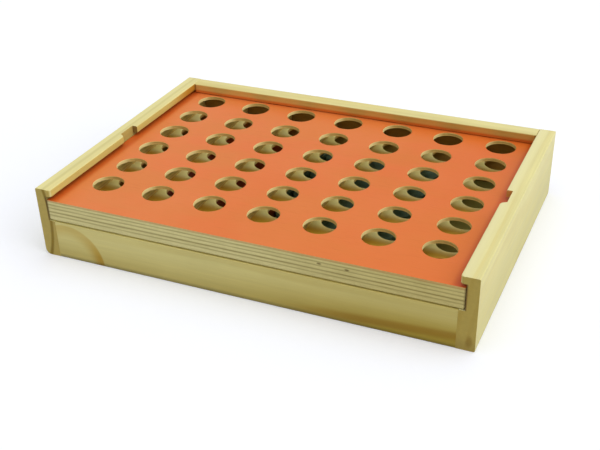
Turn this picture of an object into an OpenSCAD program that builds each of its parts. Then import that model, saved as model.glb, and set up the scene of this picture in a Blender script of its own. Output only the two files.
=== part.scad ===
// Four-in-a-row game in a sliding storage box.
// The playing board slides into grooves as the lid of the box. Drawn off and
// turned up on its rail, it stands in the two notches of the side walls.
// X runs along the columns, Y runs to the back, Z is up. The origin is on the
// table, under the middle of the box.

/* [Discs] */
// Diameter of a disc, which is also the row pitch of the windows
disc_d = 30; // [26:0.5:34]
// Thickness of a disc
disc_t = 9; // [6:0.5:9.5]
// Width of the bevel round a disc's rim
disc_bevel = 0.8; // [0.3:0.1:1.5]
// Smallest gap between stored discs
store_gap = 0.5; // [0.3:0.1:1]

/* [Board] */
// Number of channels across the board
columns = 7; // [5:1:9]
// Number of discs that one channel holds
rows = 6; // [4:1:8]
// Diameter of a window
window_d = 21.4; // [14:0.1:24]
// Extra width of a channel over a disc
channel_play = 1; // [0.6:0.1:2]
// Depth of a channel between the two panels
core_t = 10.5; // [10:0.5:14]
// Thickness of the face panel
face_t = 2.5; // [2:0.5:4]
// Thickness of the rear panel
rear_t = 2.5; // [2.5:0.5:4]
// Width of a divider strip between two channels
divider_w = 8; // [6:0.5:12]
// Width of the two outer strips
edge_strip_w = 9.9; // [6:0.1:14]
// Width of the rail that closes the channels at the front
rail_w = 20.2; // [18:0.1:30]
// Length of a channel past its last disc
channel_end = 1.2; // [0:0.1:4]
// Rounding of the rear panel's two side edges
board_edge_r = 2.2; // [1:0.1:2.4]

/* [Box] */
// Thickness of the side walls and the back wall
wall_t = 11.7; // [10:0.1:14]
// Thickness of the front panel
front_t = 12; // [10:0.5:14]
// Height of the ledges that carry the board
ledge_z = 27.5; // [22:0.5:40]
// Thickness of the lip over the board
lip_t = 5.1; // [4:0.1:8]
// Depth of the side walls' groove for the board
groove_deep = 4; // [3:0.5:5]
// Depth of the back wall's groove for the board
back_groove_deep = 5; // [4:0.5:6]
// Height that the side walls' groove has over the board
groove_play = 2.4; // [0.5:0.1:3]
// Height that the back wall's groove has over the board
back_groove_play = 0.5; // [0.3:0.1:3]
// Clearance at each side of the board
side_gap = 0.5; // [0.3:0.1:1]
// Clearance behind the board
back_gap = 1.2; // [0.3:0.1:2]
// Running clearance under the board
rest_gap = 0.1; // [0.05:0.05:0.3]
// Drop of the front panel's top under the ledges
front_drop = 0.3; // [0.2:0.1:3]
// Height of the front panel's foot over the table
front_lift = 0; // [0:0.1:3]

/* [Edges] */
// Rounding of the lip's inner top edge
lip_r = 0.8; // [0.5:0.1:2]
// Rounding of the inner lower edge of a side wall's lip
lip_under_r = 0.6; // [0.3:0.1:1.5]
// Rounding of the inner lower edge of the back wall's lip
back_under_r = 0.3; // [0.2:0.1:1.5]
// Rounding of the lip's corner at the open front
lip_nose_r = 2.4; // [1:0.1:2.8]
// Rounding of the outer top edges
rim_r = 0.8; // [0.3:0.1:2]
// Rounding of the left foot edge
left_foot_r = 4; // [1:0.5:6]
// Rounding of the right foot edge
right_foot_r = 1; // [0.5:0.5:6]
// Rounding of the back wall's foot edge
back_foot_r = 1; // [0.5:0.5:6]
// Rounding of the front panel's edges and of the ledges' inner edge
panel_r = 0.6; // [0.3:0.1:1.5]

/* [Notches] */
// Play of the standing board in the notches
notch_play = 0.5; // [0.4:0.1:1.5]
// Distance from the middle of the board's depth to the middle of the notches
notch_shift = 0.2; // [-10:0.1:10]
// Rounding of the notch's front corner, which leads the board in
notch_lead_r = 3.8; // [2:0.1:6]

/* [Base] */
// Thickness of the base panel
base_t = 3; // [3:0.5:5]
// Height of the base panel over the table
base_z = 4; // [3:0.5:6]
// Depth of the grooves that hold the base panel
base_seat = 5; // [3:0.5:6]
// Clearance of the base panel in its grooves
base_gap = 0.2; // [0.1:0.1:0.4]

/* [Hidden] */
$fn = 64;
eps = 0.01;

// Sizes of the board
board_t = rear_t + core_t + face_t;
channel_w = disc_d + channel_play;
column_pitch = channel_w + divider_w;
board_w = (columns - 1) * column_pitch + channel_w + 2 * edge_strip_w;
board_d = rail_w + rows * disc_d + channel_end;

// Sizes of the box, which is built round the board
skin_t = wall_t - groove_deep;
back_skin_t = wall_t - back_groove_deep;
box_w = board_w + 2 * (side_gap + skin_t);
box_d = board_d + back_gap + back_skin_t;
groove_h = rest_gap + board_t + groove_play;
back_groove_h = rest_gap + board_t + back_groove_play;
lip_z = ledge_z + groove_h;
box_h = lip_z + lip_t;
inner_w = box_w - 2 * wall_t;
inner_d = box_d - front_t - wall_t;
front_y = -box_d / 2;
back_y = box_d / 2;
inner_y = front_y + front_t;

// Places of the board
board_z = ledge_z + rest_gap;
core_z = board_z + rear_t;
face_z = core_z + core_t;
rail_back_y = front_y + rail_w;

// Places of the notches
notch_w = board_t + notch_play;
notch_y = front_y + board_d / 2 + notch_shift;

// Stored discs lie in one layer, filled from the left
disc_count = columns * rows;
per_colour = ceil(disc_count / 2);
store_rows = max(1, floor((inner_d - store_gap) / (disc_d + store_gap)));
store_step_x = disc_d + store_gap;
store_step_y = inner_d / store_rows;
store_z = base_z + base_t;

function column_x(i) = (i - (columns - 1) / 2) * column_pitch;
function row_y(j) = rail_back_y + (j + 0.5) * disc_d;
function store_x(k) = -inner_w / 2 + store_gap + disc_d / 2 + floor(k / store_rows) * store_step_x;
function store_y(k) = inner_y + (k % store_rows + 0.5) * store_step_y;
function numbered(stem, count) = [for (k = [1 : count]) str(stem, "_", k < 10 ? "0" : "", k)];

red_names = numbered("red_disc", per_colour);
blue_names = numbered("blue_disc", disc_count - per_colour);
divider_names = numbered("divider", columns - 1);

// ---- helpers ------------------------------------------------------------

// Piece to take off a square corner at the origin to round it by r.
// The body lies on the side of the corner that side_x and side_y point to.
module corner_cut(r, side_x, side_y) {
    difference() {
        translate([side_x * (r - eps) / 2, side_y * (r - eps) / 2])
            square(r + eps, center = true);
        translate([side_x * r, side_y * r])
            circle(r);
    }
}

// Stands an outline, drawn as X and Z, along Y from from_y to to_y
module along_y(from_y, to_y) {
    translate([0, to_y, 0])
        rotate([90, 0, 0])
            linear_extrude(to_y - from_y)
                children();
}

// Stands an outline, drawn as Y and Z, along X from from_x to to_x
module along_x(from_x, to_x) {
    translate([from_x, 0, 0])
        rotate([90, 0, 90])
            linear_extrude(to_x - from_x)
                children();
}

// Outline of a grooved wall, with its outer face at x = 0 and its lip at +x. The
// lip starts high over the ledge, and its lower arris is rounded by under_r.
module wall_outline(foot_r, high, under_r) {
    difference() {
        square([wall_t, box_h]);
        corner_cut(foot_r, 1, 1);
        translate([0, box_h]) corner_cut(rim_r, 1, -1);
        translate([wall_t, box_h]) corner_cut(lip_r, -1, -1);
        translate([wall_t, ledge_z + high]) corner_cut(under_r, -1, 1);
        translate([wall_t, ledge_z]) corner_cut(panel_r, -1, -1);
    }
}

// Groove for the board's edge in a grooved wall's outline
module board_groove(deep, high) {
    translate([wall_t - deep, ledge_z])
        square([deep + eps, high]);
}

// Groove for the base panel's edge, with its mouth at x = 0
module base_groove() {
    translate([-base_seat, base_z])
        square([base_seat + eps, base_t + base_gap]);
}

// ---- box ----------------------------------------------------------------

// A side wall at the left, with its lip and ledge facing +x. The groove for the
// board is open at the front, and stops at the back wall's own groove.
module side_wall(foot_r) {
    inner_x = -box_w / 2 + wall_t;
    groove_x = -box_w / 2 + skin_t;
    difference() {
        translate([-box_w / 2, 0, 0])
            along_y(front_y, back_y) wall_outline(foot_r, groove_h, lip_under_r);
        translate([-box_w / 2, 0, 0])
            along_y(front_y - eps, back_y - back_skin_t) board_groove(groove_deep, groove_h);
        translate([inner_x, 0, 0])
            along_y(inner_y - base_seat, back_y - wall_t + base_seat) base_groove();
        // Notch through the lip, with a rounded lead at its front corner
        translate([0, 0, lip_z - eps])
            linear_extrude(lip_t + 2 * eps) {
                translate([groove_x, notch_y - notch_w / 2])
                    square([groove_deep + eps, notch_w]);
                translate([inner_x, notch_y - notch_w / 2])
                    corner_cut(notch_lead_r, -1, -1);
                translate([inner_x, front_y])
                    corner_cut(lip_nose_r, -1, 1);
            }
    }
}

module left_side() {
    color("#e8dfa6") side_wall(left_foot_r);
}

module right_side() {
    color("#e8dfa6") mirror([1, 0, 0]) side_wall(right_foot_r);
}

// The back wall stands between the sides, and holds the board's back edge
module back_wall() {
    color("#e2d89c")
        translate([0, back_y, 0])
            mirror([0, 1, 0])
                difference() {
                    along_x(-inner_w / 2, inner_w / 2)
                        wall_outline(back_foot_r, back_groove_h, back_under_r);
                    along_x(-inner_w / 2 - eps, inner_w / 2 + eps)
                        board_groove(back_groove_deep, back_groove_h);
                    translate([0, wall_t, 0])
                        along_x(-inner_w / 2 - eps, inner_w / 2 + eps) base_groove();
                }
}

// The low front panel closes the store under the board
module front_panel() {
    top_z = ledge_z - front_drop;
    color("#cdbf78")
        along_x(-inner_w / 2, inner_w / 2)
            difference() {
                translate([front_y, front_lift])
                    square([front_t, top_z - front_lift]);
                translate([front_y, top_z]) corner_cut(panel_r, 1, -1);
                translate([inner_y, top_z]) corner_cut(panel_r, -1, -1);
                translate([front_y, front_lift]) corner_cut(panel_r, 1, 1);
                translate([inner_y, 0]) base_groove();
            }
}

// The base panel sits in a groove all round
module base_panel() {
    reach = base_seat - base_gap;
    color("#c9b37a")
        translate([-inner_w / 2 - reach, inner_y - reach, base_z])
            cube([inner_w + 2 * reach, inner_d + 2 * reach, base_t]);
}

// ---- board --------------------------------------------------------------

// All windows of one panel, one row of holes behind another
module windows(from_z, to_z) {
    for (i = [0 : columns - 1], j = [0 : rows - 1])
        translate([column_x(i), row_y(j), from_z - eps])
            cylinder(h = to_z - from_z + 2 * eps, d = window_d);
}

module face_panel() {
    color("#e07c48")
        difference() {
            translate([-board_w / 2, front_y, face_z])
                cube([board_w, board_d, face_t]);
            windows(face_z, face_z + face_t);
        }
}

module rear_panel() {
    color("#d8c98c")
        difference() {
            along_y(front_y, front_y + board_d)
                difference() {
                    translate([-board_w / 2, board_z])
                        square([board_w, rear_t]);
                    translate([-board_w / 2, board_z]) corner_cut(board_edge_r, 1, 1);
                    translate([board_w / 2, board_z]) corner_cut(board_edge_r, -1, 1);
                }
            windows(board_z, core_z);
        }
}

// The rail is the channels' floor when the board stands up
module bottom_rail() {
    color("#d2c48a")
        translate([-board_w / 2, front_y, core_z])
            cube([board_w, rail_w, core_t]);
}

// A strip beside a channel, from the rail to the open ends of the channels
module strip(middle_x, strip_w) {
    color("#d2c48a")
        translate([middle_x - strip_w / 2, rail_back_y, core_z])
            cube([strip_w, board_d - rail_w, core_t]);
}

module left_edge_strip() {
    strip(-(board_w - edge_strip_w) / 2, edge_strip_w);
}

module right_edge_strip() {
    strip((board_w - edge_strip_w) / 2, edge_strip_w);
}

// ---- discs --------------------------------------------------------------

// A disc with a bevelled rim, lying at its place k in the store
module stored_disc(k) {
    translate([store_x(k), store_y(k), store_z])
        rotate_extrude()
            polygon([
                [0, 0],
                [disc_d / 2 - disc_bevel, 0],
                [disc_d / 2, disc_bevel],
                [disc_d / 2, disc_t - disc_bevel],
                [disc_d / 2 - disc_bevel, disc_t],
                [0, disc_t]
            ]);
}

// ---- the nodes ----------------------------------------------------------

left_side();
right_side();
back_wall();
front_panel();
base_panel();
rear_panel();
bottom_rail();
left_edge_strip();
right_edge_strip();
face_panel();
for (i = [0 : columns - 2])
    strip(column_x(i + 0.5), divider_w);
for (k = [0 : len(red_names) - 1])
    color("#9c2f24") stored_disc(k);
for (k = [0 : len(blue_names) - 1])
    color("#1f6470") stored_disc(per_colour + k);
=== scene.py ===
import math
import bpy
from mathutils import Matrix, Vector


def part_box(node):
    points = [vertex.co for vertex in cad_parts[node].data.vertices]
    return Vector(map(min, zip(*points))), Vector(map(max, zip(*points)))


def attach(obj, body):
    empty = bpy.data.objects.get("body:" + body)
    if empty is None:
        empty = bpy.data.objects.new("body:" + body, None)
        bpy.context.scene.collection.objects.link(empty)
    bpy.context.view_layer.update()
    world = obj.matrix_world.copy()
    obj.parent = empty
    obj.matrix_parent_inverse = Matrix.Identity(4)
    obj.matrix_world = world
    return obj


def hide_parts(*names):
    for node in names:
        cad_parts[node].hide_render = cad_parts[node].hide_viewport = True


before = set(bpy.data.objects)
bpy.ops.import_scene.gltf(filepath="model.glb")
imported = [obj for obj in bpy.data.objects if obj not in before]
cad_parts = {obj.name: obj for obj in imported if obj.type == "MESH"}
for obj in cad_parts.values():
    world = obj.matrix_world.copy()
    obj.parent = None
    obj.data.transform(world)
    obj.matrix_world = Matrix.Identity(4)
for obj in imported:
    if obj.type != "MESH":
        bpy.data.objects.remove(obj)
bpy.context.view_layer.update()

# ---- Side walls ---------------------------------------------------------
# Two planed pine boards on edge. Each has a wide groove for the playing board,
# open at the front, a narrow groove for the base, and a notch through its lip.
# The lip and the foot are rounded over, and every arris is sanded.
mm = 0.001
wall_thick = 11.7 * mm
ledge_high = 27.5 * mm
lip_thick = 5.1 * mm
side_groove_deep = 4 * mm
back_groove_deep = 5 * mm
base_groove_deep = 5 * mm
base_groove_high = 3.2 * mm
notch_wide = 16 * mm
notch_middle = -3.75 * mm
sanded = 0.3 * mm

box_low, box_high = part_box("left_side")
front_y, back_y, rim_z = box_low.y, box_high.y, box_high.z
lip_z = rim_z - lip_thick
inside_x = -box_low.x - wall_thick
base_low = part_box("base_panel")[0]


def add_block(name, low, high):
    """A cube primitive that fills the box from low to high, with its place in its mesh."""
    bpy.ops.object.select_all(action="DESELECT")
    low, high = Vector(low), Vector(high)
    bpy.ops.mesh.primitive_cube_add(size=1, location=(low + high) / 2, scale=high - low)
    piece = bpy.context.object
    piece.name = name
    bpy.ops.object.transform_apply(location=True, rotation=False, scale=True)
    return piece


def pick(piece):
    """Selects one piece and nothing else, and makes it the active one."""
    bpy.ops.object.select_all(action="DESELECT")
    piece.select_set(True)
    bpy.context.view_layer.objects.active = piece


def select_by(piece, domain, test):
    """Goes to edit mode with only the faces or edges selected that pass the test."""
    pick(piece)
    bpy.ops.object.mode_set(mode="EDIT")
    bpy.ops.mesh.select_mode(type=domain)
    bpy.ops.mesh.select_all(action="DESELECT")
    bpy.ops.object.mode_set(mode="OBJECT")
    corners = piece.data.vertices
    if domain == "FACE":
        for face in piece.data.polygons:
            face.select = test(face.center, face.normal)
    else:
        for edge in piece.data.edges:
            start, end = (corners[i].co for i in edge.vertices)
            edge.select = test(start, end)
    bpy.ops.object.mode_set(mode="EDIT")


def mark_out(piece, axis, places):
    """Cuts the piece's faces along planes square to one axis, and keeps both sides."""
    for place in places:
        point, normal = Vector(), Vector()
        point[axis], normal[axis] = place, 1
        select_by(piece, "FACE", lambda centre, facing: True)
        bpy.ops.mesh.bisect(plane_co=point, plane_no=normal)
        bpy.ops.object.mode_set(mode="OBJECT")


def pull_out(piece, test, step):
    """Extrudes the faces that pass the test by a step, outward or into the wood."""
    select_by(piece, "FACE", test)
    bpy.ops.mesh.extrude_region_move(TRANSFORM_OT_translate={"value": step})
    bpy.ops.object.mode_set(mode="OBJECT")


def round_over(piece, radius, steps, test):
    """Rounds the edges that pass the test."""
    select_by(piece, "EDGE", test)
    bpy.ops.mesh.bevel(offset=radius, segments=steps, profile=0.5, affect="EDGES")
    bpy.ops.object.mode_set(mode="OBJECT")


def shade(piece, angle):
    """Shades edges flatter than an angle in degrees smooth, and keeps flat faces flat."""
    pick(piece)
    bpy.ops.object.shade_smooth_by_angle(angle=math.radians(angle))
    flat_faces = piece.modifiers.new("flat faces", "WEIGHTED_NORMAL")
    flat_faces.keep_sharp = True
    bpy.ops.object.modifier_apply(modifier=flat_faces.name)


def sand(piece, width):
    """Takes the sharpness off all edges that are left, and shades the piece."""
    pick(piece)
    bevel = piece.modifiers.new("sanded edges", "BEVEL")
    bevel.width = width
    bevel.segments = 2
    bevel.limit_method = "ANGLE"
    bevel.angle_limit = math.radians(40)
    bpy.ops.object.modifier_apply(modifier=bevel.name)
    shade(piece, 50)


def near(value, place):
    return abs(value - place) < 0.02 * mm


def side_wall(name, side, foot_radius):
    """A side wall. side is -1 for the left one and 1 for the right one."""
    outer_x, inner_x = -side * box_low.x, side * inside_x
    groove_x = inner_x + side * side_groove_deep
    groove_end_y = back_y - wall_thick + back_groove_deep
    notch_front = notch_middle - notch_wide / 2
    notch_back = notch_middle + notch_wide / 2
    wall = add_block(
        name,
        (min(outer_x, groove_x), front_y, 0),
        (max(outer_x, groove_x), back_y, rim_z),
    )
    mark_out(wall, 2, (base_low.z, base_low.z + base_groove_high, ledge_high, lip_z))
    mark_out(wall, 1, (groove_end_y, base_low.y, notch_front, notch_back))

    def stands_proud(centre, facing):
        in_groove = ledge_high < centre.z < lip_z and centre.y < groove_end_y
        in_notch = centre.z > lip_z and notch_front < centre.y < notch_back
        return facing.x * side < -0.9 and not in_groove and not in_notch

    def holds_base(centre, facing):
        level = base_low.z < centre.z < base_low.z + base_groove_high
        return facing.x * side < -0.9 and level and base_low.y < centre.y < groove_end_y

    pull_out(wall, stands_proud, (-side * side_groove_deep, 0, 0))
    pull_out(wall, holds_base, (side * base_groove_deep, 0, 0))

    def stands_at(a, b, x, y):
        return all(near(p.x, x) and near(p.y, y) and p.z > lip_z - sanded for p in (a, b))

    def runs_at(a, b, x, z):
        return all(near(p.x, x) and near(p.z, z) for p in (a, b)) and abs(a.y - b.y) > sanded

    def lip_edge(a, b):
        on_lip = all(p.z > rim_z - sanded and abs(p.x - groove_x) > sanded for p in (a, b))
        inner = all(abs(p.x - inner_x) < side_groove_deep - sanded for p in (a, b))
        on_end = all(near(p.y, front_y) for p in (a, b)) or all(near(p.y, notch_front) for p in (a, b))
        return on_lip and inner and not on_end and not all(near(p.y, back_y) for p in (a, b))

    round_over(wall, 2.4 * mm, 5, lambda a, b: stands_at(a, b, inner_x, front_y))
    round_over(wall, 3.8 * mm, 6, lambda a, b: stands_at(a, b, inner_x, notch_front))
    round_over(wall, 0.8 * mm, 3, lip_edge)
    round_over(wall, 0.6 * mm, 3, lambda a, b: runs_at(a, b, inner_x, lip_z))
    round_over(wall, 0.6 * mm, 2, lambda a, b: runs_at(a, b, inner_x, ledge_high))
    round_over(wall, 0.8 * mm, 3, lambda a, b: runs_at(a, b, outer_x, rim_z))
    round_over(wall, foot_radius, 6, lambda a, b: runs_at(a, b, outer_x, 0))
    sand(wall, sanded)
    return wall


def add_node(tree, kind, inputs, **settings):
    """Adds a shader node. An input is a value, or the socket that feeds it."""
    node = tree.nodes.new("ShaderNode" + kind)
    for setting, value in settings.items():
        setattr(node, setting, value)
    for socket, value in inputs.items():
        if isinstance(value, bpy.types.NodeSocket):
            tree.links.new(value, node.inputs[socket])
        else:
            node.inputs[socket].default_value = value
    return node


def calculate(tree, operation, first, second=0.0, third=0.0):
    inputs = {0: first, 1: second, 2: third}
    return add_node(tree, "Math", inputs, operation=operation).outputs[0]


def multiply(tree, product, *factors):
    for factor in factors:
        product = calculate(tree, "MULTIPLY", product, factor)
    return product


def apart(tree, value, place):
    """How far a value is from a place, on either side of it."""
    return calculate(tree, "ABSOLUTE", calculate(tree, "SUBTRACT", value, place))


def split(tree, vector):
    """The three parts of a vector: across, in depth and up."""
    return add_node(tree, "SeparateXYZ", {0: vector}).outputs


def blend(tree, share, colour_a, colour_b, mode="MIX"):
    """Mixes two colours. The share is a value or a socket."""
    mix = add_node(tree, "Mix", {}, data_type="RGBA", blend_type=mode)
    for socket, value in ((0, share), (6, colour_a), (7, colour_b)):
        if isinstance(value, bpy.types.NodeSocket):
            tree.links.new(value, mix.inputs[socket])
        elif socket:
            mix.inputs[socket].default_value = (*value, 1)
        else:
            mix.inputs[socket].default_value = value
    return mix.outputs[2]


def ramp(tree, value, stops, easing="EASE"):
    """A curve of grey levels through stops of (place, level)."""
    node = add_node(tree, "ValToRGB", {0: value})
    node.color_ramp.interpolation = easing
    while len(node.color_ramp.elements) < len(stops):
        node.color_ramp.elements.new(1)
    for element, (place, level) in zip(node.color_ramp.elements, stops):
        element.position = place
        element.color = (level, level, level, 1)
    return node.outputs[0]


def new_finish(name, gloss_roughness):
    """A material with a Principled shader. Gives the material, its nodes and its shader."""
    finish = bpy.data.materials.new(name)
    finish.use_nodes = True
    shader = finish.node_tree.nodes["Principled BSDF"]
    shader.inputs["Roughness"].default_value = gloss_roughness
    shader.inputs["Specular IOR Level"].default_value = 0.22
    return finish, finish.node_tree, shader


def stretched(tree, place, along, squeeze):
    """Coordinates squeezed along the grain, so that a noise on them becomes fibres."""
    scale = [1.0, 1.0, 1.0]
    scale[along] = squeeze
    return add_node(tree, "Mapping", {"Vector": place, "Scale": scale}).outputs[0]


def noise(tree, place, scale, detail=2.0, roughness=0.5):
    inputs = {"Vector": place, "Scale": scale, "Detail": detail, "Roughness": roughness}
    return add_node(tree, "TexNoise", inputs)


def between(tree, value, low, high, to_low, to_high, kind="SMOOTHSTEP"):
    """Maps a value's range from low..high to to_low..to_high."""
    inputs = {0: value, 1: low, 2: high, 3: to_low, 4: to_high}
    return add_node(tree, "MapRange", inputs, interpolation_type=kind).outputs[0]


pine_pale = (0.75, 0.685, 0.31)
pine_late = (0.64, 0.51, 0.15)
pine_end = (0.67, 0.56, 0.32)
pine_routed = (0.85, 0.8, 0.55)
# Painted shade colours for the grooves: dark brown, and orange-brown in the right wall's notch.
painted_shade_brown = (0.14, 0.07, 0.015)
notch_orange_brown = (0.80, 0.34, 0.11)
front_end = (front_y + 1 * mm, front_y + 3 * mm)
past_notch = (20 * mm, 21 * mm)


def tinted(tree, share, colour, tint):
    """A share of the tint, laid over a colour like a glaze."""
    return blend(tree, share, colour, blend(tree, 1.0, colour, tint, "MULTIPLY"))


def off_line(tree, place, x, z, flatten=1.0):
    """Distance from a line along Y through x and z. Over 1, flatten makes it a tall oval."""
    spot = split(tree, place)
    off_x = calculate(tree, "SUBTRACT", spot[0], x)
    off_z = calculate(tree, "DIVIDE", calculate(tree, "SUBTRACT", spot[2], z), flatten)
    off = add_node(tree, "CombineXYZ", {0: off_x, 2: off_z})
    return add_node(tree, "VectorMath", {0: off.outputs[0]}, operation="LENGTH").outputs["Value"]


def pine(
    name, along, pith, ring_gap, ring_strength, groove,
    pale=pine_pale, late=pine_late, routed_and_reflected=pine_routed
):
    """Clear sealed pine. Rings lie round a pith line that runs along the grain.

    pith is a point of that line, and along is the grain's axis: 0 for X, 1 for Y.
    groove is where the groove's mouth and its bottom are, measured across the grain.
    The inner faces are browner, as cut by the router; on the back wall their tint
    is a painted orange reflection of the board. The groove has painted shade in dark
    brown, and so has the end grain at the groove's bottom on the front end and in the
    notch, where on the right wall the painted shade is orange-brown.
    Gives the material, its tree, its shader and the colour socket for more marks.
    """
    finish, tree, shader = new_finish(name, 0.48)
    seat = add_node(tree, "TexCoord", {})
    place = seat.outputs["Object"]
    fibres = stretched(tree, place, along, 0.025)

    sway = noise(tree, stretched(tree, place, along, 0.16), 38, 2).outputs["Color"]
    sway = add_node(tree, "VectorMath", {0: sway, 1: (0.5, 0.5, 0.5)}, operation="SUBTRACT")
    sway = add_node(tree, "VectorMath", {0: sway.outputs[0], "Scale": 0.009}, operation="SCALE")
    swayed = add_node(tree, "VectorMath", {0: place, 1: sway.outputs[0]}, operation="ADD")
    from_pith = add_node(
        tree, "VectorMath", {0: swayed.outputs[0], 1: pith}, operation="SUBTRACT"
    )
    across = [1.0, 1.0, 1.0]
    across[along] = 0.0
    flat = add_node(
        tree, "VectorMath", {0: from_pith.outputs[0], 1: across}, operation="MULTIPLY"
    )
    radius = add_node(tree, "VectorMath", {0: flat.outputs[0]}, operation="LENGTH")
    rings = calculate(tree, "DIVIDE", radius.outputs["Value"], ring_gap)
    growth = calculate(tree, "FRACT", rings)
    late_wood = ramp(tree, growth, ((0, 0), (0.5, 0.12), (0.86, 1), (0.93, 0.9), (1, 0)))
    uneven = noise(tree, stretched(tree, place, along, 0.1), 60, 2).outputs["Fac"]
    uneven = between(tree, uneven, 0.3, 0.7, 0.35, 1)
    late_wood = multiply(tree, late_wood, uneven, ring_strength)
    colour = blend(tree, late_wood, pale, late)

    fibre = noise(tree, fibres, 2600, 4, 0.65).outputs["Fac"]
    streak = noise(tree, fibres, 330, 3, 0.6).outputs["Fac"]
    cloud = noise(tree, place, 22, 3).outputs["Fac"]
    light = calculate(tree, "ADD", between(tree, fibre, 0.25, 0.75, -0.05, 0.04, "LINEAR"), 1)
    light = calculate(tree, "ADD", light, between(tree, streak, 0.3, 0.7, -0.05, 0.04, "LINEAR"))
    light = calculate(tree, "ADD", light, between(tree, cloud, 0.3, 0.7, -0.03, 0.03, "LINEAR"))
    light = add_node(tree, "CombineXYZ", {0: light, 1: light, 2: light}).outputs[0]
    colour = blend(tree, 1.0, colour, light, "MULTIPLY")

    facing = split(tree, seat.outputs["Normal"])
    end_grain = between(tree, calculate(tree, "ABSOLUTE", facing[along]), 0.6, 0.95, 0, 1)
    colour = tinted(tree, end_grain, colour, pine_end)

    inward = {0: place, 1: seat.outputs["Normal"]}
    inward = add_node(tree, "VectorMath", inward, operation="DOT_PRODUCT").outputs["Value"]
    colour = tinted(tree, between(tree, inward, -0.09, -0.06, 1, 0), colour, routed_and_reflected)

    spot = split(tree, place)
    groove_mouth, groove_bottom = groove
    off_axis = calculate(tree, "ABSOLUTE", spot[1 - along])
    off_notch = apart(tree, spot[1], notch_middle)
    # Painted shade: the groove under the lip is darkened towards dark brown, less so in the notch.
    in_groove = between(tree, off_axis, groove_mouth + sanded, groove_mouth + 4 * sanded, 0, 1)
    lighter_in_notch = between(tree, off_notch, notch_wide / 2 - 0.5 * mm, notch_wide / 2 + 0.5 * mm, 0.35, 1)
    underside = between(tree, inward, -0.06, -0.05, 0.55, 0.9)
    faces_groove = between(tree, inward, -0.04, -0.02, 1, 0)
    in_groove = multiply(tree, in_groove, lighter_in_notch, underside, faces_groove)

    # Painted shade on end grain: a strip at the groove's bottom on the front end, and the end grain in
    # the notch.
    at_mouth = between(tree, off_axis, groove_bottom + sanded, groove_bottom + 4 * sanded, 0.85, 0)
    at_mouth = multiply(tree, at_mouth, between(tree, spot[2], lip_z, lip_z + sanded, 1, 0))
    at_front = between(tree, spot[1], *front_end, 1, 0)
    at_notch = between(tree, off_notch, *past_notch, 0.65, 0)
    ends = multiply(tree, calculate(tree, "MULTIPLY_ADD", at_mouth, at_front, at_notch), end_grain)
    painted_shade = calculate(tree, "MAXIMUM", in_groove, ends)
    painted_shade = multiply(tree, painted_shade, between(tree, spot[2], ledge_high, ledge_high + sanded, 0, 1))
    # On the right wall the painted shade on the notch's end grain is orange-brown.
    notch_orange_share = between(tree, off_notch, *past_notch, end_grain, 0)
    notch_orange_share = between(tree, spot[0], -10 * mm, 10 * mm, 0, notch_orange_share)
    colour = blend(tree, painted_shade, colour, blend(tree, notch_orange_share, painted_shade_brown, notch_orange_brown))

    tree.links.new(colour, shader.inputs["Base Color"])
    sheen = between(tree, streak, 0.3, 0.7, 0.42, 0.56, "LINEAR")
    tree.links.new(sheen, shader.inputs["Roughness"])
    height = calculate(tree, "MULTIPLY_ADD", late_wood, 0.5, fibre)
    bump = add_node(tree, "Bump", {"Height": height, "Strength": 0.35, "Distance": 0.04 * mm})
    tree.links.new(bump.outputs[0], shader.inputs["Normal"])
    return finish, tree, shader, colour


side_groove = (inside_x, inside_x + side_groove_deep)
left_pith_x, left_pith_z = -236.4 * mm, 28.8 * mm
dark_ring_radius = 94.4 * mm
left_wall = side_wall("left_wall", -1, 4 * mm)
left_pine, tree, shader, colour = pine(
    "left_pine", 1, (left_pith_x, 0, left_pith_z), 17 * mm, 0.3, side_groove
)
seat = tree.nodes["Texture Coordinate"].outputs
facing, spot = split(tree, seat["Normal"]), split(tree, seat["Object"])
dark_ring = apart(tree, off_line(tree, seat["Object"], left_pith_x, left_pith_z), dark_ring_radius)
dark_ring = between(tree, dark_ring, 0.4 * mm, 1.9 * mm, 1, 0)
on_end = between(tree, calculate(tree, "ABSOLUTE", facing[1]), 0.6, 0.95, 0.2, 0.9)
colour = tinted(tree, multiply(tree, dark_ring, on_end), colour, (0.5, 0.42, 0.1))
# Painted shade with a painted orange reflection of the board on the lip's inner face, growing towards the
# back corner.
faces_in = between(tree, facing[0], 0.6, 0.9, 0, 1)
painted_shade_to_back = between(tree, spot[1], 46 * mm, 88 * mm, 0, faces_in)
colour = tinted(tree, painted_shade_to_back, colour, (0.8, 0.46, 0.15))
tree.links.new(colour, shader.inputs["Base Color"])
left_wall.data.materials.append(left_pine)
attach(left_wall, "box")
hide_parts("left_side")

right_wall = side_wall("right_wall", 1, 1 * mm)
right_pine, tree, shader, colour = pine("right_pine", 1, (0.262, 0, 0.004), 7.4 * mm, 0.35, side_groove)
seat = tree.nodes["Texture Coordinate"].outputs
facing, spot = split(tree, seat["Normal"]), split(tree, seat["Object"])
resin = off_line(tree, seat["Object"], 146.7 * mm, 6.5 * mm, 1.9)
resin = between(tree, resin, 0.8 * mm, 2.9 * mm, 0.55, 0)
colour = tinted(tree, resin, colour, (0.55, 0.4, 0.1))
faces_up = between(tree, facing[2], 0.5, 0.9, 0, 1)
pale_top = multiply(tree, between(tree, spot[0], 141 * mm, 148 * mm, 0.45, 0), faces_up)
colour = blend(tree, pale_top, colour, (0.80, 0.76, 0.45))
faces_out = between(tree, facing[0], 0.5, 0.9, 0, 1)
colour = tinted(tree, between(tree, spot[2], 48 * mm, 10 * mm, 0, faces_out), colour, (0.87, 0.86, 0.8))
faces_front = between(tree, facing[1], -0.9, -0.6, 1, 0)
colour = tinted(tree, faces_front, colour, (0.95, 0.93, 0.82))
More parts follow.
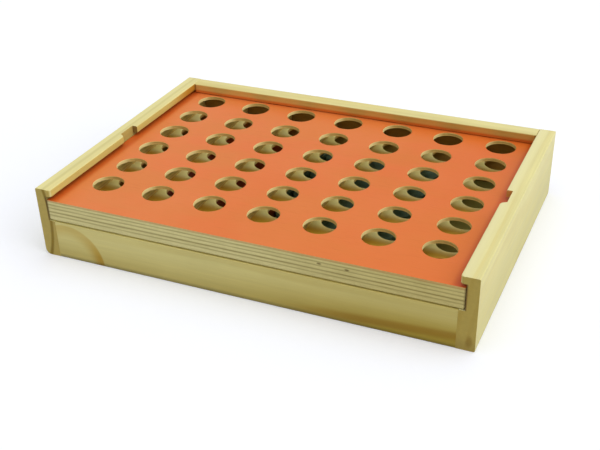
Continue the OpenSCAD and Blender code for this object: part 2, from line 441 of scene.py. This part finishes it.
# Painted shade: the front end is darker and greyer towards its foot.
colour = tinted(tree, between(tree, spot[2], 12 * mm, 1 * mm, 0, faces_front), colour, (0.84, 0.82, 0.82))
tree.links.new(colour, shader.inputs["Base Color"])
right_wall.data.materials.append(right_pine)
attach(right_wall, "box")
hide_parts("right_side")

# ---- Back wall ----------------------------------------------------------
# A pine board glued between the two sides. It has a thicker lip, which fits closely
# over the playing board's back edge.


back_lip_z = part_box("face_panel")[1].z + 0.5 * mm


def back_board():
    inner_y = back_y - wall_thick
    wall = add_block(
        "back_board",
        (-inside_x, inner_y + back_groove_deep, 0),
        (inside_x, back_y, rim_z),
    )
    mark_out(wall, 2, (base_low.z, base_low.z + base_groove_high, ledge_high, back_lip_z))

    def stands_proud(centre, facing):
        return facing.y < -0.9 and not ledge_high < centre.z < back_lip_z

    def holds_base(centre, facing):
        return facing.y < -0.9 and base_low.z < centre.z < base_low.z + base_groove_high

    pull_out(wall, stands_proud, (0, -back_groove_deep, 0))
    pull_out(wall, holds_base, (0, base_groove_deep, 0))

    def runs_at(a, b, y, z):
        return all(near(p.y, y) and near(p.z, z) for p in (a, b))

    round_over(wall, 0.8 * mm, 3, lambda a, b: runs_at(a, b, inner_y, rim_z))
    round_over(wall, 0.3 * mm, 2, lambda a, b: runs_at(a, b, inner_y, back_lip_z))
    round_over(wall, 0.6 * mm, 2, lambda a, b: runs_at(a, b, inner_y, ledge_high))
    round_over(wall, 0.8 * mm, 3, lambda a, b: runs_at(a, b, back_y, rim_z))
    round_over(wall, 1.0 * mm, 3, lambda a, b: runs_at(a, b, back_y, 0))
    sand(wall, 0.15 * mm)
    return wall


back_wall = back_board()
back_groove = (back_y - wall_thick, back_y - wall_thick + back_groove_deep)
# On the back wall the inner faces' tint is a painted orange reflection of the board.
back_pine, tree, shader, colour = pine(
    "back_pine", 0, (0, 0.13, -0.06), 9 * mm, 0.6, back_groove, routed_and_reflected=(0.97, 0.66, 0.40)
)
seat = tree.nodes["Texture Coordinate"].outputs
facing, spot = split(tree, seat["Normal"]), split(tree, seat["Object"])
faces_in = between(tree, facing[1], -0.9, -0.6, 1, 0)
glue_line = calculate(tree, "ABSOLUTE", spot[0])
glue_line = between(tree, glue_line, inside_x - 1.6 * mm, inside_x - 0.6 * mm, 0, 0.85)
colour = tinted(tree, multiply(tree, glue_line, faces_in), colour, (0.3, 0.18, 0.08))
to_right = between(tree, spot[0], -120 * mm, 60 * mm, 0, faces_in)
colour = tinted(tree, to_right, colour, (0.88, 0.81, 0.70))
# Painted shade: an orange-brown band along the foot of the back lip's inner face.
painted_lip_foot_shade = between(tree, spot[2], back_lip_z + 1.3 * mm, back_lip_z + 3.2 * mm, 0.85, 0)
on_lip = between(tree, spot[2], back_lip_z - 0.2 * mm, back_lip_z, 0, 1)
colour = tinted(tree, multiply(tree, painted_lip_foot_shade, faces_in, on_lip), colour, (0.95, 0.32, 0.1))
tree.links.new(colour, shader.inputs["Base Color"])
back_wall.data.materials.append(back_pine)
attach(back_wall, "box")
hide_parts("back_wall")

# ---- Base panel ---------------------------------------------------------
# Thin plywood, held in the narrow groove on all four sides. It shows only from
# below, and through the windows where no disc lies on it.


def veneer(tree, seat, along, pale, brown):
    """Rotary-cut birch: broad soft figure, fine pores along the grain."""
    place = seat.outputs["Object"]
    fibres = stretched(tree, place, along, 0.035)
    figure = noise(tree, stretched(tree, place, along, 0.3), 45, 4, 0.55).outputs["Fac"]
    pores = noise(tree, fibres, 1900, 3, 0.7).outputs["Fac"]
    colour = blend(tree, between(tree, figure, 0.35, 0.7, 0, 0.8), pale, brown)
    return blend(tree, between(tree, pores, 0.55, 0.75, 0, 0.35), colour, brown), pores


base_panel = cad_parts["base_panel"]
base_finish, tree, shader = new_finish("base_plywood", 0.6)
seat = add_node(tree, "TexCoord", {})
# Painted shade: the base's veneer is far darker than the board's, for the shade deep in the box.
colour, pores = veneer(tree, seat, 0, (0.34, 0.315, 0.075), (0.24, 0.195, 0.04))
tree.links.new(colour, shader.inputs["Base Color"])
bump = add_node(tree, "Bump", {"Height": pores, "Strength": 0.4, "Distance": 0.05 * mm})
tree.links.new(bump.outputs[0], shader.inputs["Normal"])
base_panel.data.materials.clear()
base_panel.data.materials.append(base_finish)

# ---- Front panel --------------------------------------------------------
# A low pine board between the sides, set under the playing board so that the
# board can slide over it. Flat-sawn: a ring curls up at its left end, and a
# brown streak of late wood runs along its foot at the right.
panel_low, panel_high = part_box("front_panel")


def front_board():
    panel = add_block("front_board", panel_low, panel_high)
    mark_out(panel, 2, (base_low.z, base_low.z + base_groove_high))

    def holds_base(centre, facing):
        return facing.y > 0.9 and base_low.z < centre.z < base_low.z + base_groove_high

    def long_edge(a, b, z):
        return all(near(p.z, z) for p in (a, b)) and abs(a.x - b.x) > sanded

    pull_out(panel, holds_base, (0, -base_groove_deep, 0))
    round_over(panel, 0.3 * mm, 2, lambda a, b: long_edge(a, b, panel_high.z))
    round_over(panel, 0.6 * mm, 3, lambda a, b: long_edge(a, b, panel_low.z))
    sand(panel, 0.12 * mm)
    return panel


front_panel = front_board()
no_groove = (200 * mm, 201 * mm)
front_pine, tree, shader, colour = pine(
    "front_pine", 0, (0, -0.16, 0.055), 13 * mm, 0.3, no_groove, (0.75, 0.67, 0.27), (0.62, 0.48, 0.13)
)
place = tree.nodes["Texture Coordinate"].outputs["Object"]
spot = split(tree, place)
to_right = between(tree, spot[0], -70 * mm, 130 * mm, 0, 1)
to_foot = between(tree, spot[2], 22 * mm, 2 * mm, 0, 0.42)
low_right = multiply(tree, to_right, between(tree, spot[2], 24 * mm, 12 * mm, 0, 0.22))
browner = calculate(tree, "MULTIPLY_ADD", to_right, 0.4, calculate(tree, "ADD", to_foot, low_right))
colour = tinted(tree, browner, colour, (0.57, 0.46, 0.14))

curl_x, curl_z = -131 * mm, -2 * mm
curl = off_line(tree, place, curl_x, curl_z)
rise = between(tree, curl, 17 * mm, 26 * mm, 0, 1)
fall = between(tree, curl, 27.2 * mm, 28.4 * mm, 1, 0)
fades_up = between(tree, spot[2], 24 * mm, 3 * mm, 0.5, 1)
colour = tinted(tree, multiply(tree, rise, fall, fades_up), colour, (0.78, 0.58, 0.22))

streak_slope, streak_low = 0.052, 1.2 * mm
off_streak = calculate(tree, "MULTIPLY_ADD", spot[0], streak_slope, streak_low)
off_streak = apart(tree, spot[2], off_streak)
streak = between(tree, off_streak, 0.8 * mm, 4.5 * mm, 1, 0)
streak = multiply(tree, streak, between(tree, spot[0], 15 * mm, 80 * mm, 0, 0.7))
colour = tinted(tree, streak, colour, (0.72, 0.52, 0.2))
# Painted shade: the face is greyer and darker just above its foot.
painted_foot_shade = between(tree, spot[2], 0.8 * mm, 3.4 * mm, 0.62, 0)
colour = tinted(tree, painted_foot_shade, colour, (0.32, 0.33, 0.38))
tree.links.new(colour, shader.inputs["Base Color"])
front_panel.data.materials.append(front_pine)
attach(front_panel, "box")
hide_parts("front_panel")

# ---- Discs --------------------------------------------------------------
# Turned and stained wooden discs with a rounded rim, 21 of each colour, stored in
# one layer on the base. Each is cut from another place of the wood, and turned.
own_grain_step = 100 * mm
own_turn = 137.5


def disc_finish(name, deep, bright):
    """Stain on wood: the grain drinks it unevenly. grain is the disc's own attribute."""
    finish, tree, shader = new_finish(name, 0.42)
    grain = add_node(tree, "Attribute", {}, attribute_name="grain").outputs["Vector"]
    fibres = stretched(tree, grain, 0, 0.05)
    fibre = noise(tree, fibres, 1300, 4, 0.65).outputs["Fac"]
    bands = noise(tree, stretched(tree, grain, 0, 0.12), 230, 2).outputs["Fac"]
    bands = between(tree, bands, 0.3, 0.7, 0.1, 1)
    own_tone = between(tree, noise(tree, grain, 4, 0).outputs["Fac"], 0.3, 0.7, 0.8, 2.2)
    colour = blend(tree, multiply(tree, bands, fibre, own_tone), deep, bright)
    tree.links.new(colour, shader.inputs["Base Color"])
    tree.links.new(between(tree, fibre, 0.3, 0.7, 0.34, 0.5), shader.inputs["Roughness"])
    bump = add_node(tree, "Bump", {"Height": fibre, "Strength": 0.4, "Distance": 0.05 * mm})
    tree.links.new(bump.outputs[0], shader.inputs["Normal"])
    return finish


def turned_disc(name, diameter, height):
    """One disc, standing on the origin."""
    bpy.ops.object.select_all(action="DESELECT")
    bpy.ops.mesh.primitive_cylinder_add(
        vertices=72, radius=diameter / 2, depth=height, location=(0, 0, height / 2)
    )
    disc = bpy.context.object
    disc.name = name
    bpy.ops.object.transform_apply(location=True, rotation=False, scale=True)

    def rim(a, b):
        return near(a.z, b.z)

    round_over(disc, 0.8 * mm, 3, rim)
    shade(disc, 35)
    return disc


disc_low, disc_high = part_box("red_disc_01")
pattern_disc = turned_disc("pattern_disc", disc_high.x - disc_low.x, disc_high.z - disc_low.z)
disc_finishes = {
    "red": disc_finish("red_stain", (0.36, 0.065, 0.01), (0.58, 0.14, 0.03)),
    "blue": disc_finish("blue_stain", (0.115, 0.2, 0.14), (0.24, 0.37, 0.25)),
}
for number, node_name in enumerate(sorted(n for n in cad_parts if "_disc_" in n)):
    low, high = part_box(node_name)
    disc = pattern_disc.copy()
    disc.data = pattern_disc.data.copy()
    disc.name = node_name.replace("disc", "playing_disc")
    bpy.context.collection.objects.link(disc)
    shift = Vector((0, 0, own_grain_step * number))
    own_place = [part for corner in disc.data.vertices for part in corner.co + shift]
    grain = disc.data.attributes.new("grain", "FLOAT_VECTOR", "POINT")
    grain.data.foreach_set("vector", own_place)
    turn = Matrix.Rotation(math.radians(own_turn * number), 4, "Z")
    seat_point = Vector(((low.x + high.x) / 2, (low.y + high.y) / 2, low.z))
    disc.data.transform(Matrix.Translation(seat_point) @ turn)
    colour_name = node_name.split("_")[0]
    disc.data.materials.append(disc_finishes[colour_name])
    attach(disc, "box")
    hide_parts(node_name)
bpy.data.objects.remove(pattern_disc)

# ---- Playing board: channels --------------------------------------------
# The rail, the two outer strips and the six dividers are cut from one sheet of
# birch plywood, so their cut edges show its layers.
rear_low, rear_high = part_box("rear_panel")
face_low, face_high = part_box("face_panel")
board_thick = face_high.z - rear_low.z
layer_tilt = -0.0016
layer_levels = (
    (0, 0.9), (0.035, 0.8), (0.075, 0.45), (0.115, 0.9), (0.17, 0.9), (0.213, 0.22),
    (0.255, 0.9), (0.325, 0.9), (0.374, 0.25), (0.42, 0.95), (0.5, 0.9), (0.561, 0.0),
    (0.61, 0.85), (0.67, 0.9), (0.716, 0.3), (0.77, 0.85), (0.88, 1.0), (0.935, 0.7), (0.97, 1.0),
)
core_gaps = ((52.9 * mm, 38.6 * mm), (70.8 * mm, 38.1 * mm))


def plywood(name):
    """Birch plywood: veneer on its faces, light and dark layers on its cut edges.

    The cuts in its windows and channels are warmer than those round its outside.
    """
    finish, tree, shader = new_finish(name, 0.55)
    seat = add_node(tree, "TexCoord", {})
    place = seat.outputs["Object"]
    facing, spot = split(tree, seat.outputs["Normal"]), split(tree, place)
    veneer_colour, pores = veneer(tree, seat, 0, (0.95, 0.88, 0.40), (0.84, 0.74, 0.26))

    waver = noise(tree, place, 24, 2).outputs["Fac"]
    waver = between(tree, waver, 0.3, 0.7, -0.12 * mm, 0.12 * mm, "LINEAR")
    depth = calculate(tree, "SUBTRACT", face_high.z, spot[2])
    depth = calculate(tree, "MULTIPLY_ADD", spot[0], layer_tilt, depth)
    depth = calculate(tree, "DIVIDE", calculate(tree, "ADD", depth, waver), board_thick)
    layers = ramp(tree, depth, layer_levels, "LINEAR")
    cross_cut = noise(tree, stretched(tree, place, 0, 0.08), 700, 3, 0.6).outputs["Fac"]
    cross_cut = between(tree, cross_cut, 0.3, 0.7, -0.16, 0.16, "LINEAR")
    layers = calculate(tree, "ADD", layers, cross_cut)
    edge_colour = blend(tree, layers, (0.33, 0.27, 0.09), (0.79, 0.72, 0.345))
    speckle = noise(tree, stretched(tree, place, 2, 3), 420, 4, 0.7).outputs["Fac"]
    speckle = between(tree, speckle, 0.35, 0.7, 0, 0.22)
    edge_colour = blend(tree, speckle, edge_colour, (0.45, 0.38, 0.14))
    for gap_x, gap_z in core_gaps:
        core_gap = off_line(tree, place, gap_x, gap_z, 0.45)
        core_gap = between(tree, core_gap, 0.8 * mm, 2.0 * mm, 0.8, 0)
        edge_colour = blend(tree, core_gap, edge_colour, (0.16, 0.11, 0.03))

    side = calculate(tree, "ABSOLUTE", spot[0])
    inner_cut = between(tree, side, rear_high.x - 2.4 * mm, rear_high.x - 1.4 * mm, 1, 0)
    inner_cut = multiply(tree, inner_cut, between(tree, spot[1], *front_end, 0, 1))
    outer_cut = calculate(tree, "SUBTRACT", 1, inner_cut)
    stained = multiply(tree, outer_cut, between(tree, depth, 0.06, 0.11, 0.4, 0))
    edge_colour = blend(tree, stained, edge_colour, (0.62, 0.27, 0.08))
    # Painted shade: the board's outer sides, which run in the grooves, are dark brown.
    painted_side_shade = between(tree, side, rear_high.x - 1.1 * mm, rear_high.x - 0.1 * mm, 0, 0.6)
    edge_colour = blend(tree, painted_side_shade, edge_colour, (0.2, 0.13, 0.04))
    right_end = multiply(tree, outer_cut, between(tree, spot[0], -30 * mm, 120 * mm, 0, 1))
    edge_colour = tinted(tree, right_end, edge_colour, (0.87, 0.82, 0.68))
    edge_colour = tinted(tree, inner_cut, edge_colour, (1.0, 0.74, 0.49))

    # Painted shade: the cut walls inside the channels are darker olive, more so higher up under the face.
    in_channel = between(tree, spot[2], face_low.z - 0.2 * mm, face_low.z, 1, 0)
    above_channel = calculate(tree, "SUBTRACT", 1, in_channel)
    channel_shade_by_height = between(tree, spot[2], rear_high.z, rear_high.z + 6 * mm, 0.3, 0.75)
    painted_channel_shade = multiply(tree, in_channel, inner_cut, channel_shade_by_height)
    edge_colour = blend(tree, painted_channel_shade, edge_colour, (0.60, 0.54, 0.19))
    # Painted light: the bore walls that face right are paler, where the light from the right falls.
    faces_right = between(tree, facing[0], 0.5, 1, 0, 0.9)
    painted_light_on_bores = multiply(tree, inner_cut, faces_right, above_channel)
    edge_colour = blend(tree, painted_light_on_bores, edge_colour, (0.93, 0.77, 0.34))

    on_face = between(tree, calculate(tree, "ABSOLUTE", facing[2]), 0.75, 0.95, 0, 1)
    colour = blend(tree, on_face, edge_colour, veneer_colour)
    tree.links.new(colour, shader.inputs["Base Color"])
    height = calculate(tree, "MULTIPLY_ADD", layers, 0.8, pores)
    bump = add_node(tree, "Bump", {"Height": height, "Strength": 0.45, "Distance": 0.05 * mm})
    tree.links.new(bump.outputs[0], shader.inputs["Normal"])
    return finish, tree, shader, colour


board_plywood, tree, shader, colour = plywood("board_plywood")
strips = ["bottom_rail", "left_edge_strip", "right_edge_strip"]
strips += sorted(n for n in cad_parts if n.startswith("divider_"))
for strip_name in strips:
    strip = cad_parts[strip_name]
    strip.data.materials.clear()
    strip.data.materials.append(board_plywood)

# ---- Playing board: rear and face panels --------------------------------
# Two thin plywood sheets with 42 drilled windows each, glued over the strips. The
# face is stained orange before the windows are drilled, so their bores stay bare.
# The rear panel is rounded at its sides to slide in, and browner behind each window: painted shade.
window_wide = 21.4 * mm
columns, rows = 7, 6
column_pitch, row_pitch = 39 * mm, 30 * mm
first_column = -(columns - 1) / 2 * column_pitch
first_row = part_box("bottom_rail")[1].y + row_pitch / 2


def window_drill(bottom, top):
    """One cutter with a rod for every window."""
    rods = []
    for column in range(columns):
        for row in range(rows):
            bpy.ops.object.select_all(action="DESELECT")
            bpy.ops.mesh.primitive_cylinder_add(
                vertices=64,
                radius=window_wide / 2,
                depth=top - bottom,
                location=(
                    first_column + column * column_pitch,
                    first_row + row * row_pitch,
                    (top + bottom) / 2,
                ),
            )
            rods.append(bpy.context.object)
    bpy.ops.object.select_all(action="DESELECT")
    for rod in rods:
        rod.select_set(True)
    bpy.context.view_layer.objects.active = rods[0]
    bpy.ops.object.join()
    bpy.ops.object.transform_apply(location=True, rotation=False, scale=True)
    return bpy.context.object


def drilled_sheet(name, low, high):
    """A sheet with all windows drilled."""
    sheet = add_block(name, low, high)
    drill = window_drill(low.z - 1 * mm, high.z + 1 * mm)
    pick(sheet)
    drilling = sheet.modifiers.new("windows", "BOOLEAN")
    drilling.operation = "DIFFERENCE"
    drilling.solver = "EXACT"
    drilling.object = drill
    bpy.ops.object.modifier_apply(modifier=drilling.name)
    bpy.data.objects.remove(drill)
    return sheet


def on_window_rim(a, b):
    """Whether an edge from a to b is a chord of a window's rim."""
    for p in (a, b):
        off_x = (p.x - first_column + column_pitch / 2) % column_pitch - column_pitch / 2
        off_y = (p.y - first_row + row_pitch / 2) % row_pitch - row_pitch / 2
        if abs(math.hypot(off_x, off_y) - window_wide / 2) > 0.02 * mm:
            return False
    return near(a.z, b.z) and (a - b).length < 2 * mm


rear_panel = drilled_sheet("rear_sheet", rear_low, rear_high)
round_over(rear_panel, 0.3 * mm, 2, on_window_rim)
round_over(
    rear_panel, 2.2 * mm, 5,
    lambda a, b: all(near(p.z, rear_low.z) and near(abs(p.x), rear_high.x) for p in (a, b)),
)
shade(rear_panel, 50)
spot = split(tree, tree.nodes["Texture Coordinate"].outputs["Object"])
# Painted shade: the rear panel's top is browner just behind each window, under the face panel.
behind_row = calculate(tree, "SUBTRACT", spot[1], first_row)
behind_row = calculate(tree, "FLOORED_MODULO", behind_row, row_pitch)
painted_shade_behind_windows = between(tree, behind_row, 13 * mm, 22 * mm, 1, 0)
back_half = between(tree, behind_row, 0, 5 * mm, 0, 1)
on_rear = between(tree, spot[2], rear_high.z + 0.1 * mm, rear_high.z + 0.6 * mm, 1, 0)
colour = tinted(tree, multiply(tree, painted_shade_behind_windows, back_half, on_rear), colour, (0.77, 0.50, 0.12))
tree.links.new(colour, shader.inputs["Base Color"])
rear_panel.data.materials.append(board_plywood)
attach(rear_panel, "board")
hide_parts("rear_panel")

face_panel = drilled_sheet("orange_face", face_low, face_high)
round_over(
    face_panel, 0.3 * mm, 2,
    lambda a, b: on_window_rim(a, b) and near(a.z, face_high.z),
)
shade(face_panel, 50)
face_panel.data.materials.append(board_plywood)

orange_stain, tree, shader = new_finish("orange_stain", 0.45)
seat = add_node(tree, "TexCoord", {})
place = seat.outputs["Object"]
fibres = stretched(tree, place, 0, 0.05)
fibre = noise(tree, fibres, 1500, 4, 0.65).outputs["Fac"]
figure = noise(tree, stretched(tree, place, 0, 0.45), 30, 4, 0.55).outputs["Fac"]
cloud = noise(tree, place, 12, 3).outputs["Fac"]
figured = between(tree, figure, 0.35, 0.65, 0, 1)
colour = blend(tree, figured, (0.73, 0.178, 0.036), (0.69, 0.205, 0.047))
colour = blend(tree, between(tree, cloud, 0.35, 0.7, 0, 0.6), colour, (0.74, 0.225, 0.065))
colour = blend(tree, between(tree, fibre, 0.52, 0.8, 0, 0.35), colour, (0.55, 0.12, 0.018))
across = split(tree, place)[0]
to_right = between(tree, across, -150 * mm, 150 * mm, 0, 1, "LINEAR")
colour = tinted(tree, to_right, colour, (0.98, 0.78, 0.4))
# Painted shade: the orange is darker and browner along both lips.
painted_shade_by_lips = calculate(tree, "ABSOLUTE", across)
painted_shade_by_lips = between(tree, painted_shade_by_lips, inside_x - 6.4 * mm, inside_x - 1.4 * mm, 0, 0.8)
colour = tinted(tree, painted_shade_by_lips, colour, (0.76, 0.42, 0.12))
tree.links.new(colour, shader.inputs["Base Color"])
tree.links.new(between(tree, figure, 0.3, 0.7, 0.4, 0.5), shader.inputs["Roughness"])
bump = add_node(tree, "Bump", {"Height": fibre, "Strength": 0.3, "Distance": 0.04 * mm})
tree.links.new(bump.outputs[0], shader.inputs["Normal"])
face_panel.data.materials.append(orange_stain)
for face in face_panel.data.polygons:
    if face.normal.z > 0.9 and face.center.z > face_high.z - 0.05 * mm:
        face.material_index = 1
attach(face_panel, "board")
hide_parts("face_panel")

# ---- Studio -------------------------------------------------------------
# A white floor under a soft sky, brightest overhead and to the right, dimmer from
# behind the box and from the left, and darkest low in front of it.


def seen_rays(tree):
    """1 for rays from the camera, and for those that it sees in gloss or through glass."""
    path = add_node(tree, "LightPath", {})
    seen = calculate(tree, "MAXIMUM", path.outputs["Is Camera Ray"], path.outputs["Is Glossy Ray"])
    return calculate(tree, "MAXIMUM", seen, path.outputs["Is Transmission Ray"])


bpy.ops.object.select_all(action="DESELECT")
bpy.ops.mesh.primitive_plane_add(size=12, location=(0, 0, 0))
floor = bpy.context.object
floor.name = "floor"
floor_paint = bpy.data.materials.new("white_paper")
floor_paint.use_nodes = True
tree = floor_paint.node_tree
tree.nodes.clear()
matt = add_node(tree, "BsdfDiffuse", {"Color": (0.58, 0.58, 0.58, 1)})
shown_matt = add_node(tree, "BsdfDiffuse", {"Color": (0.87, 0.89, 0.95, 1)})
glow = add_node(tree, "Emission", {"Color": (1, 1, 1, 1), "Strength": 0.11})
shown = add_node(tree, "AddShader", {0: shown_matt.outputs[0], 1: glow.outputs[0]})
surface = add_node(
    tree, "MixShader", {0: seen_rays(tree), 1: matt.outputs[0], 2: shown.outputs[0]}
)
add_node(tree, "OutputMaterial", {"Surface": surface.outputs[0]})
floor.data.materials.append(floor_paint)

sky = bpy.data.worlds.new("studio")
bpy.context.scene.world = sky
sky.use_nodes = True
tree = sky.node_tree
tree.nodes.clear()
direction = add_node(tree, "TexCoord", {}).outputs["Generated"]
towards = split(tree, direction)
front_to_back = ((0, 0.16), (0.15, 0.32), (0.3, 0.85), (0.5, 1), (0.62, 0.75), (0.8, 0.42), (1, 0.3))
left_to_right = ((0, 0.36), (0.25, 0.42), (0.5, 0.9), (0.75, 0.8), (1, 1))
sky_strength = 2.25
to_back = ramp(tree, between(tree, towards[1], -1, 1, 0, 1, "LINEAR"), front_to_back, "LINEAR")
to_right = ramp(tree, between(tree, towards[0], -1, 1, 0, 1, "LINEAR"), left_to_right, "LINEAR")
level = multiply(tree, to_back, to_right, sky_strength)
light = add_node(tree, "Background", {"Color": (1, 1, 1, 1), "Strength": level})
backdrop = add_node(tree, "Background", {"Color": (1, 1, 1, 1), "Strength": 1.0})
surface = add_node(
    tree, "MixShader",
    {0: seen_rays(tree), 1: light.outputs[0], 2: backdrop.outputs[0]},
)
add_node(tree, "OutputWorld", {"Surface": surface.outputs[0]})

bpy.context.scene.view_settings.view_transform = "Standard"

camera_azimuth, camera_elevation, camera_roll = (math.radians(a) for a in (24.41, 32.11, -1.55))
camera_distance = 578.9 * mm
look_at = Vector((43.5, -110.8, 42.6)) * mm
camera_back = Vector((
    math.sin(camera_azimuth) * math.cos(camera_elevation),
    -math.cos(camera_azimuth) * math.cos(camera_elevation),
    math.sin(camera_elevation),
))
level_right = Vector((math.cos(camera_azimuth), math.sin(camera_azimuth), 0))
level_up = camera_back.cross(level_right)
rolled_right = level_right * math.cos(camera_roll) + level_up * math.sin(camera_roll)
rolled_up = camera_back.cross(rolled_right)
camera_data = bpy.data.cameras.new("camera")
camera_data.lens = 58.69
camera_data.sensor_width = 36
camera_data.shift_y = 0.0583
camera_data.dof.use_dof = False
camera = bpy.data.objects.new("camera", camera_data)
bpy.context.collection.objects.link(camera)
turn = Matrix((rolled_right, rolled_up, camera_back)).transposed().to_4x4()
camera.matrix_world = Matrix.Translation(look_at + camera_back * camera_distance) @ turn
bpy.context.scene.camera = camera
